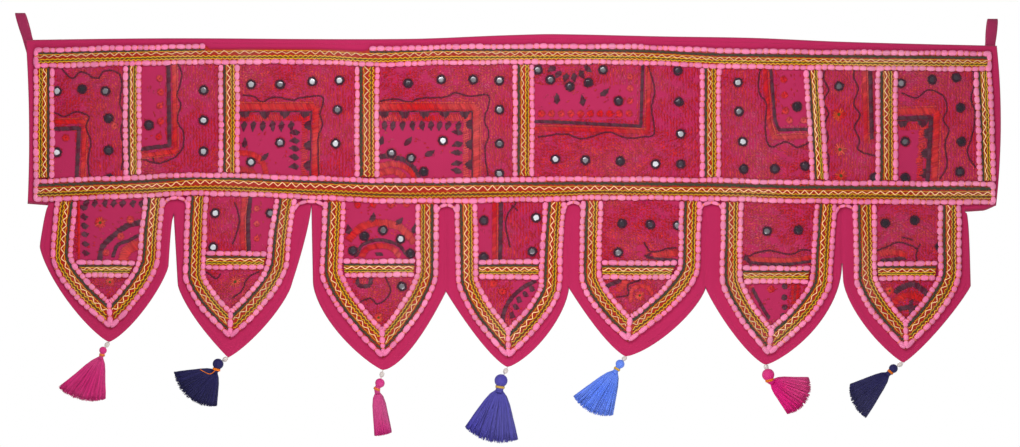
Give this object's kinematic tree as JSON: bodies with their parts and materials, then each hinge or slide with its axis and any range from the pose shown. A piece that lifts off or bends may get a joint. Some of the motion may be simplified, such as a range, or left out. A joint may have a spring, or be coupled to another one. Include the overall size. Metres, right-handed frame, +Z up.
{
  "type": "toran door hanging",
  "caption": "Embroidered door hanging: a patchwork heading framed by raised couched trims, a row of pointed pennants with a tassel at each point, and a tape loop at each top corner.",
  "frame": {"origin": "the middle of the backing cloth's top edge, on its face", "axes": "+X along the door head to the right, +Y back towards the wall, +Z up"},
  "size_m": [1.0159, 0.0193, 0.4428],
  "materials": {
    "backing": "plain woven cotton in deep magenta",
    "ground": "old cotton patches worked all over in running and herringbone stitch",
    "trim": "couched yarns: pink edge cords, yellow, green and cream lines over brick red",
    "tape": "folded cotton tape",
    "tassel_pink": "loose rayon threads, magenta pink",
    "tassel_rose": "loose rayon threads, rose pink",
    "tassel_navy": "loose rayon threads, navy",
    "tassel_violet": "loose rayon threads, blue violet",
    "tassel_blue": "loose rayon threads, light blue",
    "mirror": "small silvered glass discs",
    "bead": "clear white bead"
  },
  "bodies": {
    "root": {"backing_cloth": "backing", "trim_top": "trim", "trim_bottom": "trim", "trim_end_left": "trim", "trim_divider_1": "trim", "trim_divider_2": "trim", "trim_divider_3": "trim", "trim_divider_4": "trim", "trim_divider_5": "trim", "trim_divider_6": "trim", "trim_divider_7": "trim", "trim_end_right": "trim", "patch_heading_1": "ground", "patch_heading_2": "ground", "patch_heading_3": "ground", "patch_heading_4": "ground", "patch_heading_5": "ground", "patch_heading_6": "ground", "patch_heading_7": "ground", "patch_heading_8": "ground", "pennant_trim_1": "trim", "pennant_bar_1": "trim", "patch_upper_1": "ground", "patch_lower_1": "ground", "tassel_1": "tassel_pink", "pennant_trim_2": "trim", "pennant_bar_2": "trim", "patch_upper_2": "ground", "patch_lower_2": "ground", "tassel_2": "tassel_navy", "pennant_trim_3": "trim", "pennant_bar_3": "trim", "patch_upper_3": "ground", "patch_lower_3": "ground", "tassel_3": "tassel_rose", "pennant_trim_4": "trim", "pennant_bar_4": "trim", "patch_upper_4": "ground", "patch_lower_4": "ground", "tassel_4": "tassel_violet", "pennant_trim_5": "trim", "pennant_bar_5": "trim", "patch_upper_5": "ground", "patch_lower_5": "ground", "tassel_5": "tassel_blue", "pennant_trim_6": "trim", "pennant_bar_6": "trim", "patch_upper_6": "ground", "patch_lower_6": "ground", "tassel_6": "tassel_pink", "pennant_trim_7": "trim", "pennant_bar_7": "trim", "patch_upper_7": "ground", "patch_lower_7": "ground", "tassel_7": "tassel_navy", "loop_left": "tape", "loop_right": "tape"}
  },
  "joints": []
}
